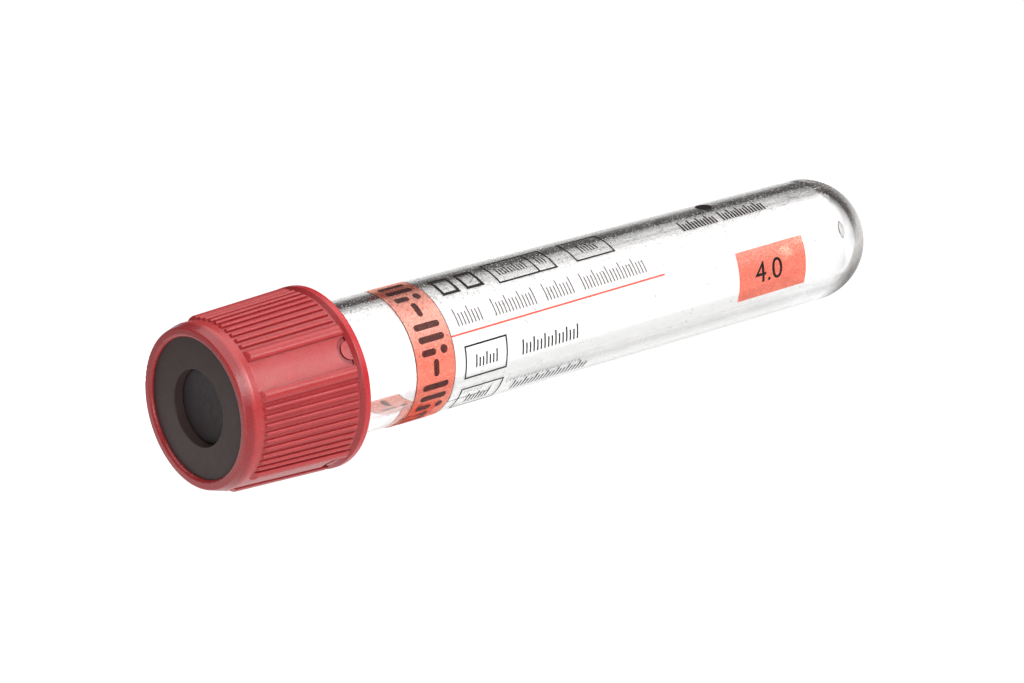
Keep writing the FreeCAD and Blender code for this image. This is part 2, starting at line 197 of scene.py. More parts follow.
# Light: a glowing pale table, a soft box overhead, a key from the front right and a fill in front,
# with places and sizes in metres
FLOOR_HALF = 4.0
FLOOR_TONE = 0.05
POOL_GLOW = 1.03                # a pool of light on the table, laid along the view
FAR_GLOW = 0.45
POOL_SIDES = (0.050, 0.075)     # full glow and end of the fade, to each side
POOL_SPREAD = 0.103             # sideways widening away from the viewer
POOL_BACK = (0.125, 0.17)
POOL_FRONT = (0.065, 0.11)
BOOST = 0.3                     # brighter strip just behind the tube
BOOST_NEAR = (0.004, 0.009)
BOOST_FAR = (0.022, 0.034)
OVERHEAD_PLACE = (0.12, 0.12, 0.85)
OVERHEAD_SIZE = 1.2
OVERHEAD_POWER = 10.0
LIGHT_DISTANCE = 0.9            # of the key and the fill
KEY_DIRECTION = (0.24, -0.74, 0.63)
KEY_SIZE = 0.42
KEY_POWER = 6.8
FILL_DIRECTION = (-0.46, -0.84, 0.28)
FILL_SIZE = 0.4
FILL_POWER = 3.6
ROOM_GREY = (0.082, 0.074, 0.071)


# ---------------------------------------------------------------- places on the tube

turn_joint = next(j for j in frame["joints"] if j["name"] == "cap_turn")
ALONG = -Vector(turn_joint["axis"]).normalized()
UP = (Vector((0, 0, 1)) - ALONG * ALONG.z).normalized()
SIDE = ALONG.cross(UP)


def span(node):
    """Least and greatest distance of a CAD node along the axis, in metres."""
    places = [v.co.dot(ALONG) for v in frame["nodes"][node].data.vertices]
    return min(places), max(places)


AXIS_POINT = Vector(turn_joint["pos_m"])
RING_FACE = AXIS_POINT + ALONG * (span("ring")[0] - AXIS_POINT.dot(ALONG))
RIM = (span("tube")[0] - span("ring")[0]) / MM
TUBE_END = (span("tube")[1] - span("ring")[0]) / MM
TUBE_LENGTH = TUBE_END - RIM
BOTTOM_RADIUS = (TUBE_RADIUS - TUBE_DRAFT * TUBE_LENGTH) / (1 - TUBE_DRAFT)
BOTTOM_CENTRE = TUBE_END - BOTTOM_RADIUS


def place(x, angle, radius):
    """Point in the row frame of a place on the tube."""
    a = math.radians(angle)
    offset = ALONG * x + UP * (radius * math.cos(a)) + SIDE * (radius * math.sin(a))
    return RING_FACE + offset * MM


def tube_radius(x):
    """Outside radius of the drafted wall."""
    return TUBE_RADIUS - TUBE_DRAFT * (x - RIM)


def around(angle):
    """Millimetres round the tube for an angle."""
    return math.radians(angle) * TUBE_RADIUS


# ---------------------------------------------------------------- mesh helpers

def new_piece(name, bm, body, materials, smooth=True):
    """Object from a bmesh, riding on a body and materials."""
    bmesh.ops.recalc_face_normals(bm, faces=bm.faces)
    mesh = bpy.data.meshes.new(name)
    bm.to_mesh(mesh)
    bm.free()
    piece = bpy.data.objects.new(name, mesh)
    bpy.context.scene.collection.objects.link(piece)
    for material in materials:
        mesh.materials.append(material)
    if smooth:
        mesh.shade_smooth()
    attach(piece, body)
    return piece


def steps(start, end, count):
    """Evenly spaced values from start, without the end."""
    return [start + (end - start) * i / count for i in range(count)]


def smooth_step(t):
    """Eased rise from 0 to 1, clamped."""
    t = max(0.0, min(1.0, t))
    return t * t * (3 - 2 * t)


# ---------------------------------------------------------------- clear tube

def lug_rise(x, angle):
    """Height of the neck's thread lugs above the wall."""
    best = 0.0
    flank = (LUG_ROOT_WIDTH - LUG_TIP_WIDTH) / 2
    for i in range(THREAD_STARTS):
        turn = (angle - 360 * i / THREAD_STARTS) % 360
        if turn > LUG_ARC:
            continue
        middle = RIM + LUG_FROM_RIM + THREAD_LEAD * turn / 360
        across = smooth_step((LUG_ROOT_WIDTH / 2 - abs(x - middle)) / flank)
        ends = smooth_step(min(turn, LUG_ARC - turn) / LUG_END_ARC)
        best = max(best, LUG_HEIGHT * across * ends)
    return best


def outer_rings():
    """(x, radius) down the outside, from the rim to the gate mark's middle."""
    rings = []
    for a in reversed(steps(0, 90, RIM_STEPS)):
        turn = math.radians(a)
        x = RIM + RIM_ROUND * (1 - math.sin(turn))
        rings.append((x, TUBE_RADIUS - RIM_ROUND * (1 - math.cos(turn))))
    neck_end = RIM + NECK_LENGTH
    rings += [(x, tube_radius(x)) for x in steps(RIM + RIM_ROUND, neck_end, NECK_STEPS)]
    rings += [(x, tube_radius(x)) for x in steps(neck_end, BOTTOM_CENTRE, WALL_STEPS)]
    gate_angle = math.degrees(math.asin(GATE_RADIUS / BOTTOM_RADIUS))
    for a in steps(0, 90 - gate_angle, BOTTOM_STEPS) + [90 - gate_angle]:
        turn = math.radians(a)
        x = BOTTOM_CENTRE + BOTTOM_RADIUS * math.sin(turn)
        rings.append((x, BOTTOM_RADIUS * math.cos(turn)))
    floor = TUBE_END - GATE_DEPTH
    # Sunk gate mark with a flat nub in its middle, and small bevels at each step
    rings += [
        (floor + 0.03, GATE_RADIUS - 0.04),
        (floor, GATE_RADIUS - 0.09),
        (floor, GATE_NUB_RADIUS + 0.05),
        (floor + 0.03, GATE_NUB_RADIUS),
        (floor + GATE_NUB_HEIGHT - 0.02, GATE_NUB_RADIUS - 0.02),
        (floor + GATE_NUB_HEIGHT, GATE_NUB_RADIUS - 0.08),
        (floor + GATE_NUB_HEIGHT, 0),
    ]
    return rings


def inner_rings():
    """(x, radius) back up the bore, from the bottom's middle to the rim."""
    radius = BOTTOM_RADIUS - TUBE_WALL
    rings = [(BOTTOM_CENTRE + radius, 0)]
    for a in reversed(steps(0, 90, BORE_BOTTOM_STEPS)):
        turn = math.radians(a)
        rings.append((BOTTOM_CENTRE + radius * math.sin(turn), radius * math.cos(turn)))
    for x in reversed(steps(RIM + RIM_LEAD_IN, BOTTOM_CENTRE, WALL_STEPS)):
        rings.append((x, tube_radius(x) - TUBE_WALL))
    mouth = TUBE_RADIUS - TUBE_WALL + RIM_LEAD_IN
    rings += [(RIM + 0.03, mouth - 0.03), (RIM, mouth + 0.02)]
    return rings


def ring_row(bm, x, radius, rise_at=None):
    """One ring of vertices, or a single one on the axis."""
    if radius == 0:
        return [bm.verts.new(place(x, 0, 0))]
    row = []
    for i in range(TUBE_SIDES):
        angle = 360 * i / TUBE_SIDES
        rise = rise_at(x, angle) if rise_at else 0
        row.append(bm.verts.new(place(x, angle, radius + rise)))
    return row


def bridge(bm, a, b, material):
    """Faces between two rings, either of which may be a pole."""
    for i in range(TUBE_SIDES):
        j = (i + 1) % TUBE_SIDES
        if len(a) == 1:
            corners = (a[0], b[i], b[j])
        elif len(b) == 1:
            corners = (a[j], a[i], b[0])
        else:
            corners = (a[i], b[i], b[j], a[j])
        bm.faces.new(corners).material_index = material


def make_tube(materials):
    """Moulded tube with its neck lugs and gate mark; the bore has a material of its own."""
    bm = bmesh.new()
    outer = [ring_row(bm, x, radius, lug_rise) for x, radius in outer_rings()]
    inner = [ring_row(bm, x, radius) for x, radius in inner_rings()]
    for rows, material in ((outer, 0), (inner, 1)):
        for a, b in zip(rows, rows[1:]):
            bridge(bm, a, b, material)
    bridge(bm, inner[-1], outer[0], 0)
    piece = new_piece("tube_clear", bm, "vessel", materials)
    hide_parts("tube")


def bore_bead(bm, x, angle, radius, height):
    """Low dome sitting on the bore, its foot sunk into the wall."""
    foot = tube_radius(x) - TUBE_WALL + BEAD_SINK
    rows = []
    for share_out, share_up in ((1.0, 0.0), BEAD_SHOULDER):
        off = radius * share_out
        level = foot - height * share_up
        row = []
        for i in range(BEAD_SIDES):
            turn = 2 * math.pi * i / BEAD_SIDES
            spin = math.degrees(off * math.sin(turn) / foot)
            row.append(bm.verts.new(place(x + off * math.cos(turn), angle + spin, level)))
        rows.append(row)
    top = bm.verts.new(place(x, angle, foot - height))
    for i in range(BEAD_SIDES):
        j = (i + 1) % BEAD_SIDES
        bm.faces.new((rows[0][i], rows[0][j], rows[1][j], rows[1][i]))
        bm.faces.new((rows[1][i], rows[1][j], top))
    bm.faces.new(list(reversed(rows[0])))


def make_beads(material):
    """Beads of dried coat: a band along the top as the tube lies, loose clusters, and an uneven edge."""
    draw = random.Random(7)
    bm = bmesh.new()

    def bead(x, angle):
        radius = BEAD_RADII[0] + (BEAD_RADII[1] - BEAD_RADII[0]) * draw.random() ** 2
        x = max(BEAD_REACH[0], min(BEAD_REACH[1], x))
        bore_bead(bm, x, angle, radius, radius * BEAD_SLENDERNESS + BEAD_SINK)

    for _ in range(BEAD_COUNT):
        bead(draw.uniform(*BEAD_REACH), draw.gauss(*BAND_OF_BEADS))
    for _ in range(CLUSTERS):
        x = draw.uniform(*BEAD_REACH)
        angle = draw.uniform(*CLUSTER_ANGLES)
        for _ in range(draw.randint(*CLUSTER_BEADS)):
            bead(draw.gauss(x, CLUSTER_SPREAD[0]), draw.gauss(angle, CLUSTER_SPREAD[1]))
    radius, height = COAT_EDGE_BEAD
    for (x0, a0), (x1, a1) in zip(COAT_EDGE, COAT_EDGE[1:]):
        count = math.ceil(math.hypot(x1 - x0, around(a1 - a0)) / COAT_EDGE_PITCH)
        for i in range(count):
            x = x0 + (x1 - x0) * (i / count)
            angle = a0 + (a1 - a0) * (i / count) + draw.uniform(-COAT_EDGE_WANDER, COAT_EDGE_WANDER)
            bore_bead(bm, x, angle, radius, height + BEAD_SINK)
    new_piece("bore_beads", bm, "vessel", [material])


# ---------------------------------------------------------------- flat print shapes

def rectangle(x0, x1, y0, y1):
    """Filled rectangle, as a list of one shape."""
    return [[(x0, y0), (x1, y0), (x1, y1), (x0, y1)]]


def capsule(start, end, width):
    """Straight stroke with round ends."""
    lean = math.atan2(end[1] - start[1], end[0] - start[0])
    points = []
    for centre, first in ((end, -90), (start, 90)):
        for a in steps(first, first + 180, 8) + [first + 180]:
            turn = lean + math.radians(a)
            x = centre[0] + width / 2 * math.cos(turn)
            points.append((x, centre[1] + width / 2 * math.sin(turn)))
    return [points]


def band_between(outer, inner):
    """Closed band of four-cornered faces between two loops with as many points."""
    shapes = []
    for i in range(len(outer)):
        j = (i + 1) % len(outer)
        shapes.append([outer[i], outer[j], inner[j], inner[i]])
    return shapes


def box_outline(x0, x1, y0, y1, line):
    """Empty box, its lines inside its limits."""
    outer = rectangle(x0, x1, y0, y1)[0]
    inner = rectangle(x0 + line, x1 - line, y0 + line, y1 - line)[0]
    return band_between(outer, inner)


def circle(centre, radius, sides=40):
    """Filled circle, as one shape."""
    turns = [2 * math.pi * i / sides for i in range(sides)]
    return [(centre[0] + radius * math.cos(t), centre[1] + radius * math.sin(t)) for t in turns]


def ticks(x, count, pitch, base, height, stroke, tall_every=4):
    """Row of upright bars, every few of them taller; base is where they stand."""
    shapes = []
    for i in range(count):
        rise = height if i % tall_every == 0 else height * SHORT_BAR
        shapes += rectangle(x + pitch * i, x + pitch * i + stroke, base - rise, base)
    return shapes


def numeral(text, x, base, height):
    """Flat faces of a plain number from the built-in font, as (x, y) corners."""
    curve = bpy.data.curves.new("numeral", "FONT")
    curve.body = text
    curve.resolution_u = 4
    holder = bpy.data.objects.new("numeral", curve)
    mesh = bpy.data.meshes.new_from_object(holder)
    tall = max(v.co.y for v in mesh.vertices)
    scale = height / tall
    faces = []
    for face in mesh.polygons:
        corners = [mesh.vertices[i].co for i in face.vertices]
        faces.append([(x + c.x * scale, base - c.y * scale) for c in corners])
    bpy.data.objects.remove(holder)
    bpy.data.meshes.remove(mesh)
    bpy.data.curves.remove(curve)
    return faces


# ---------------------------------------------------------------- wrapped sheets

def slice_across(bm, low, high):
    """Cuts a flat mesh into strips that bend round the tube."""
    step = around(WRAP_STEP)
    cut = math.ceil(low / step) * step
    while cut < high:
        bmesh.ops.bisect_plane(
            bm,
            geom=bm.verts[:] + bm.edges[:] + bm.faces[:],
            dist=1e-4,
            plane_co=(0, cut, 0),
            plane_no=(0, 1, 0),
        )
        cut += step


def wrapped_sheet(name, shapes, height, thickness, material):
    """Thin closed sheets from flat (x, y) shapes, wrapped round the tube above its wall."""
    bm = bmesh.new()
    for shape in shapes:
        corners = [bm.verts.new((x, y + PRINT_SKEW * (x - FILM_START), 0)) for x, y in shape]
        bm.faces.new(corners)
    bmesh.ops.remove_doubles(bm, verts=bm.verts, dist=1e-5)
    made = bmesh.ops.extrude_face_region(bm, geom=bm.faces[:], use_keep_orig=True)
    for v in made["geom"]:
        if isinstance(v, bmesh.types.BMVert):
            v.co.z += thickness
    heights = [v.co.y for v in bm.verts]
    slice_across(bm, min(heights), max(heights))
    for v in bm.verts:
        x, y, rise = v.co
        v.co = place(x, math.degrees(y / TUBE_RADIUS), tube_radius(x) + height + rise)
    return new_piece(name, bm, "vessel", [material], smooth=False)


def ink(name, shapes, material, over=0.0):
    """Print on the film, or over other print."""
    height = FILM_GAP + FILM_THICKNESS + INK_GAP + over
    wrapped_sheet(name, shapes, height, INK_THICKNESS, material)


# ---------------------------------------------------------------- label

def straight(x0, x1, a0, a1):
    """Outline square to the tube, not skewed as the print is, for the film, its band and edge lines.

    A wide one has a rounded corner at x0 and a0. A narrow one is cut slantwise there.
    """
    shift0 = PRINT_SKEW * (x0 - FILM_START)
    shift1 = PRINT_SKEW * (x1 - FILM_START)
    corner = []
    if x1 - x0 > CORNER:
        for turn in range(0, 91, 15):
            t = math.radians(turn)
            y = around(a0) + CORNER * (1 - math.sin(t)) - shift0
            corner.append((x0 + CORNER * (1 - math.cos(t)), y))
    else:
        corner.append((x0, around(a0) + CORNER - shift0))
    return [corner + [
        (x1, around(a0) - shift1),
        (x1, around(a1) - shift1),
        (x0, around(a1) - shift0),
    ]]


def make_film(material):
    """The label's clear film."""
    outline = straight(FILM_START, FILM_END, *FILM_ANGLES)
    piece = wrapped_sheet("label_film", outline, FILM_GAP, FILM_THICKNESS, material)
    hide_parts("label")


def band_marks():
    """Bold round-ended bars and dots round the band."""
    left, right, width = 21.72, 24.18, 0.64
    middle = (left + right) / 2
    pitch, group_length = 1.25, 5.9
    shapes = []
    y = around(-4)
    while y < around(168):
        third = y + 2 * pitch
        shapes += capsule((left, y), (right, y), width)
        shapes += capsule((left, y + pitch), (right, y + pitch), width)
        shapes += capsule((left, third), (middle - 0.15, third), width)
        shapes += [circle((right - 0.1, third), 0.42)]
        shapes += capsule((middle, y + 3.55), (middle, y + 4.6), width)
        y += group_length
    return shapes


def make_print(salmon, bold, dark, grey, red, edge):
    """Generic print, set out in millimetres along the tube and degrees round it."""
    ink("print_band", straight(*BAND_ENDS, *BAND_ANGLES), salmon)
    ink("print_film_edge", straight(*FILM_EDGE_LINE, *BAND_ANGLES), edge, SECOND_INK)
    ink("print_band_edge", straight(*BAND_EDGE_LINE, *BAND_ANGLES), edge, SECOND_INK)
    ink("print_band_marks", band_marks(), bold, THIRD_INK)

    plates = box_outline(26.7, 28.9, around(4), around(4) + 2.5, 0.34)
    plates += box_outline(29.7, 31.9, around(4), around(4) + 2.5, 0.34)
    ink("print_plates", plates, dark)

    upper = box_outline(33.5, 40.95, around(0), around(29.4), 0.2)
    upper += rectangle(38.6, 38.8, around(0) + 0.2, around(29.4) - 0.2)
    upper += ticks(34.3, 10, 0.38, around(20.5), 1.2, 0.15, 3)
    upper += ticks(39.4, 3, 0.38, around(20), 1.2, 0.15, 3)
    upper += box_outline(43.4, 48.45, around(0.2), around(29.4), 0.19)
    upper += ticks(44.9, 6, 0.38, around(20.5), 1.2, 0.15, 3)
    ink("print_upper_boxes", upper, dark)

    line = []
    for x, count in ((26.5, 8), (31.2, 13), (37.7, 9), (42.5, 20)):
        line += ticks(x, count, 0.42, around(56.5), 1.8, 0.12)
    ink("print_grey_line", line, grey)
    ink("print_red_line", rectangle(25.3, 52.6, around(62.2), around(62.2) + 0.17), red)

    lower = box_outline(26.5, 31.75, around(73.6), around(103.1), 0.17)
    lower += ticks(27.8, 7, 0.42, around(94.5), 1.3, 0.17, 3)
    lower += ticks(33.6, 16, 0.46, around(95.6), 1.5, 0.18, 3)
    lower += box_outline(26.5, 31.8, around(113.1), around(141.6), 0.17)
    lower += ticks(27.8, 7, 0.42, around(133.5), 1.3, 0.17, 3)
    lower += ticks(33.6, 21, 0.46, around(135.6), 1.5, 0.18, 3)
    ink("print_lower_boxes", lower, dark)

    far_row = ticks(57.7, 12, 0.4, around(29), 1.4, 0.22, 3)
    far_row += ticks(63.1, 15, 0.4, around(29), 1.4, 0.22, 3)
    far_row += [circle((63.0, around(1.5)), 0.85, 32)]
    ink("print_far_row", far_row, dark)

    ink("print_volume_field", rectangle(62.05, 71.2, around(63), around(108.6)), salmon)
    ink("print_volume", numeral("4.0", 64.2, around(95), 2.15), dark, THIRD_INK)


# ---------------------------------------------------------------- material helpers

def new_material(name):
    """Material with its node tree, its shader and its output node."""
    material = bpy.data.materials.new(name)
    material.use_nodes = True
    tree = material.node_tree
    return material, tree, tree.nodes["Principled BSDF"], tree.nodes["Material Output"]


def give(tree, colour, socket):
    """Sets a plain colour on a socket, or links another node's colour to it."""
    if isinstance(colour, tuple):
        socket.default_value = (*colour, 1)
    else:
        tree.links.new(colour, socket)


def noise(tree, scale, detail=3.0, roughness=0.5):
    """Noise pattern fixed to the piece."""
    coordinates = tree.nodes.new("ShaderNodeTexCoord")
    texture = tree.nodes.new("ShaderNodeTexNoise")
    texture.inputs["Scale"].default_value = scale
    texture.inputs["Detail"].default_value = detail
    texture.inputs["Roughness"].default_value = roughness
    tree.links.new(coordinates.outputs["Object"], texture.inputs["Vector"])
    return texture.outputs["Fac"]


def ramp(tree, source, low, high, low_value=0.0, high_value=1.0):
    """Maps a value range onto another, clamped."""
    node = tree.nodes.new("ShaderNodeMapRange")
    node.inputs["From Min"].default_value = low
    node.inputs["From Max"].default_value = high
    node.inputs["To Min"].default_value = low_value
    node.inputs["To Max"].default_value = high_value
    tree.links.new(source, node.inputs["Value"])
    return node.outputs["Result"]


def spread(tree, pattern, low, high):
    """Maps the range of most of a noise pattern's values onto another, clamped."""
    return ramp(tree, pattern, 0.3, 0.7, low, high)


def combine(tree, operation, a, b):
    """Result of a maths node on two values."""
    node = tree.nodes.new("ShaderNodeMath")
    node.operation = operation
    tree.links.new(a, node.inputs[0])
    tree.links.new(b, node.inputs[1])
    return node.outputs[0]


def product(tree, first, *others):
    """Product of two or more values."""
    for other in others:
        first = combine(tree, "MULTIPLY", first, other)
    return first


def tones(tree, source, start, end):
    """Colour between two others, each a plain tone or another node's colour."""
    mix = tree.nodes.new("ShaderNodeMix")
    mix.data_type = "RGBA"
    give(tree, start, mix.inputs[6])
    give(tree, end, mix.inputs[7])
    tree.links.new(source, mix.inputs["Factor"])
    return mix.outputs[2]


def bump(tree, height, strength, distance, shader):
    """Fine relief on a shader."""
    node = tree.nodes.new("ShaderNodeBump")
    node.inputs["Strength"].default_value = strength
    node.inputs["Distance"].default_value = distance
    tree.links.new(height, node.inputs["Height"])
    tree.links.new(node.outputs["Normal"], shader.inputs["Normal"])


def see_through(tree, output, tint, share, solid):
    """Mixes a tinted transparent layer with a solid one; share is the solid's part."""
    clear = tree.nodes.new("ShaderNodeBsdfTransparent")
    give(tree, tint, clear.inputs["Color"])
    mix = tree.nodes.new("ShaderNodeMixShader")
    tree.links.new(share, mix.inputs["Fac"])
    tree.links.new(clear.outputs["BSDF"], mix.inputs[1])
    tree.links.new(solid.outputs["BSDF"], mix.inputs[2])
    tree.links.new(mix.outputs["Shader"], output.inputs["Surface"])


def vector_maths(tree, operation, a, b=None):
    """Vector maths node on a linked vector and a plain one."""
    node = tree.nodes.new("ShaderNodeVectorMath")
    node.operation = operation
    tree.links.new(a, node.inputs[0])
    if b is not None:
        node.inputs[1].default_value = b
    return node


def from_ring_face(tree):
    """Vector in metres from the ring face's middle."""
    coordinates = tree.nodes.new("ShaderNodeTexCoord")
    return vector_maths(tree, "SUBTRACT", coordinates.outputs["Object"], RING_FACE).outputs["Vector"]


def measured(tree, direction):
    """Distance in millimetres from the ring face's middle, along a direction."""
    return vector_maths(tree, "DOT_PRODUCT", from_ring_face(tree), direction / MM).outputs["Value"]


def off_axis(tree):
    """Distance in millimetres from the tube's axis."""
    cross = vector_maths(tree, "CROSS_PRODUCT", from_ring_face(tree), ALONG / MM)
    return vector_maths(tree, "LENGTH", cross.outputs["Vector"]).outputs["Value"]


# ---------------------------------------------------------------- materials

def bottom_edge_shade(tree, along, up, shader):
    """Painted shade on the round bottom's edge, as a grey and as a thin tinted coat. Returns its base
    colour.
    """
    # painted shade, stronger where the wall is seen edge on
    weight = tree.nodes.new("ShaderNodeLayerWeight")
    weight.inputs["Blend"].default_value = 0.5
    slant = weight.outputs["Facing"]
    full = ramp(tree, slant, *EDGE_FULL)
    faint = ramp(tree, slant, *EDGE_FAINT, 0, EDGE_FAINT_SHARE)
    edge = combine(tree, "MAXIMUM", full, faint)
    bottom = ramp(tree, along, *EDGE_GROWTH)
    cloud = spread(tree, noise(tree, 2600, 3), 0.75, 1.0)
    share = product(tree, edge, bottom, cloud)
    lower = ramp(tree, up, *EDGE_LOWER)
    tree.links.new(share, shader.inputs["Coat Weight"])
    tree.links.new(tones(tree, lower, EDGE_SHADE_COAT, EDGE_LOW_SHADE_COAT), shader.inputs["Coat Tint"])
    shader.inputs["Coat IOR"].default_value = 1.05
    return tones(tree, share, WHITE, tones(tree, lower, EDGE_SHADE_GREY, EDGE_LOW_SHADE_GREY))


def clear_plastic():
    """Outside of the moulded tube, with painted shade on its bottom's edge, a painted shadow line low on
    its wall, and its gate mark.
    """
    material, tree, shader, _ = new_material("clear_plastic_outer")
    along = measured(tree, ALONG)
    up = measured(tree, UP)
    side = measured(tree, SIDE)
    off = off_axis(tree)
    edge_shaded = bottom_edge_shade(tree, along, up, shader)
    # painted shadow: faint grey line low on the wall
    shadow_line = product(
        tree,
        ramp(tree, up, *SHADOW_LINE_TOP),
        ramp(tree, up, *SHADOW_LINE_BASE, 1, 0),
        ramp(tree, side, *SHADOW_LINE_SIDE),
        ramp(tree, along, *SHADOW_LINE_GROWTH),
        spread(tree, noise(tree, 260, 3), 0.55, 1),
    )
    gate = product(
        tree,
        ramp(tree, off, *GATE_SHADE_START, GATE_MIDDLE_SHARE, 1),
        ramp(tree, off, *GATE_SHADE_END, 1, 0),
        ramp(tree, along, *GATE_GROWTH),
    )
    shadow_lined = tones(tree, shadow_line, edge_shaded, SHADOW_LINE_GREY)
    tree.links.new(tones(tree, gate, shadow_lined, GATE_GREY), shader.inputs["Base Color"])
    tree.links.new(ramp(tree, off, *GATE_FROST_END, GATE_FROST, 0), shader.inputs["Roughness"])
    shader.inputs["IOR"].default_value = TUBE_IOR
    shader.inputs["Transmission Weight"].default_value = 1.0
    bump(tree, noise(tree, 60, 2), 0.05, 0.0002, shader)
    return material


def coated_plastic():
    """Bore of the tube, hazed by its dried coat, with fine white grains in patches and a grey streak of
    painted shade beside its top.
    """
    material, tree, shader, _ = new_material("clear_plastic_bore")
    shader.inputs["IOR"].default_value = TUBE_IOR
    along = measured(tree, ALONG)
    up = measured(tree, UP)
    side = measured(tree, SIDE)
    # painted shade: grey streak beside the top of the bore
    smear_shade = product(
        tree,
        ramp(tree, side, *SMEAR_SHADE_START),
        ramp(tree, side, *SMEAR_SHADE_END, 1, 0),
        ramp(tree, up, *SMEAR_SHADE_UPPER),
        ramp(tree, along, *SMEAR_SHADE_GROWTH),
        spread(tree, noise(tree, 5200, 4, 0.7), 0.6, 1),
    )
    tree.links.new(tones(tree, smear_shade, WHITE, SMEAR_SHADE_GREY), shader.inputs["Base Color"])

    coordinates = tree.nodes.new("ShaderNodeTexCoord")
    cells = tree.nodes.new("ShaderNodeTexVoronoi")
    cells.inputs["Scale"].default_value = 5200
    tree.links.new(coordinates.outputs["Object"], cells.inputs["Vector"])
    dots = ramp(tree, cells.outputs["Distance"], 0.2, 0.3, 1.0, 0.0)
    patches = ramp(tree, noise(tree, 900, 4, 0.65), 0.52, 0.64)
    grains = product(tree, dots, patches)
    tree.links.new(ramp(tree, grains, 0, 1, 1.0, 0.35), shader.inputs["Transmission Weight"])

    thick = ramp(tree, along, *HAZE_GROWTH, MOUTH_HAZE, BORE_HAZE)
    low_side = ramp(tree, up, *LOW_SIDE_FADE, LOW_SIDE_SHARE, 1)
    bottom = ramp(tree, along, *HAZE_BOTTOM, 0, BOTTOM_HAZE)
    mottle = ramp(tree, noise(tree, 6500, 3), 0.35, 0.65, 0.7, 1.3)
    haze = product(tree, combine(tree, "MAXIMUM", product(tree, thick, low_side), bottom), mottle)
    rough = combine(tree, "MAXIMUM", haze, ramp(tree, grains, 0, 1, 0.0, 0.5))
    tree.links.new(rough, shader.inputs["Roughness"])
    return material


def bead_white():
    """Dried droplets of the coat."""
    material, tree, shader, _ = new_material("coat_bead_white")
    give(tree, BEAD_WHITE, shader.inputs["Base Color"])
    shader.inputs["IOR"].default_value = 1.45
    tree.links.new(spread(tree, noise(tree, 4000, 2), 0.35, 0.6), shader.inputs["Roughness"])
    return material


def film():
    """Clear film bonded to the wall: only its slight tint and haze show."""
    material, tree, shader, output = new_material("label_film_clear")
    give(tree, FILM_TONE, shader.inputs["Base Color"])
    shader.inputs["Roughness"].default_value = 0.3
    cloud = ramp(tree, noise(tree, 700, 4, 0.6), 0.35, 0.75, 0.0, 0.02)
    see_through(tree, output, FILM_TINT, cloud, shader)
    return material


def ink_salmon():
    """Translucent orange-red ink, uneven and satin, with a painted highlight that makes it paler above
    and a painted reflection that makes it paler below.
    """
    material, tree, shader, output = new_material("label_ink_salmon")
    give(tree, SALMON_TONE, shader.inputs["Base Color"])
    shader.inputs["Roughness"].default_value = 0.4
    fine = spread(tree, noise(tree, 7000, 2), -0.09, 0.09)
    broad = spread(tree, noise(tree, 500, 3), 0.07, 0.12)
    grain = spread(tree, noise(tree, 5000, 3), -0.35, 0.35)
    # painted highlight above, painted reflection below the axis
    up = measured(tree, UP)
    high = ramp(tree, up, *SALMON_HIGHLIGHT_FADE, 0.05, 0.95)
    painted_light = combine(tree, "ADD", high, ramp(tree, up, *SALMON_REFLECTION_FADE, 0, 0.35))
    tint = tones(tree, combine(tree, "ADD", grain, painted_light), SALMON_DEEP, SALMON_LIT_PALE)
    see_through(tree, output, tint, combine(tree, "ADD", fine, broad), shader)
    return material


def ink_dark(name, colour, cover):
    """Print ink that lets a little light through; cover is the part that it stops."""
    material, tree, shader, output = new_material(name)
    give(tree, colour, shader.inputs["Base Color"])
    shader.inputs["Specular IOR Level"].default_value = 0.15
    tree.links.new(spread(tree, noise(tree, 6000, 2), 0.35, 0.5), shader.inputs["Roughness"])
    share = spread(tree, noise(tree, 3000, 3), cover - 0.04, cover + 0.04)
    see_through(tree, output, INK_TINT, share, shader)
    return material


def cap_shade_shares(tree):
    """Shares of the cap's full red and of the flange's deeper red, both painted shade.

    The first is less in hollows, in the mark's groove and on the flange's step, where shade is painted.
    """
    # painted shade: ambient occlusion darkens the red in hollows
    occlusion = tree.nodes.new("ShaderNodeAmbientOcclusion")
    occlusion.samples = 8
    occlusion.only_local = True
    occlusion.inputs["Distance"].default_value = 0.0005
    unshaded_share = ramp(tree, occlusion.outputs["AO"], 0.3, 0.95)
    along = measured(tree, ALONG)
    slope_end = CAP_SLOPE_START + CAP_SLOPE_RUN
    radius_end = CAP_RADIUS + CAP_SLOPE_RUN * CAP_SLOPE
    wall = ramp(tree, along, CAP_SLOPE_START, slope_end, CAP_RADIUS, radius_end)
    depth = combine(tree, "SUBTRACT", wall, off_axis(tree))
    # painted shade in the mark's groove, by depth below the shell's outside
    groove = ramp(tree, depth, *GROOVE_DEPTH, 1, GROOVE_SHADE_SHARE)
    inside = ramp(tree, depth, *INSIDE_DEPTH)
    shell = combine(tree, "MAXIMUM", groove, inside)
    # painted shade on the flange's step
    step = ramp(tree, along, *FLANGE_SHADE, 1, STEP_SHADE_SHARE)
    # painted shade: where the flange's deeper red begins
    flange = ramp(tree, along, *FLANGE_START)
    return product(tree, unshaded_share, combine(tree, "MAXIMUM", step, flange), shell), flange


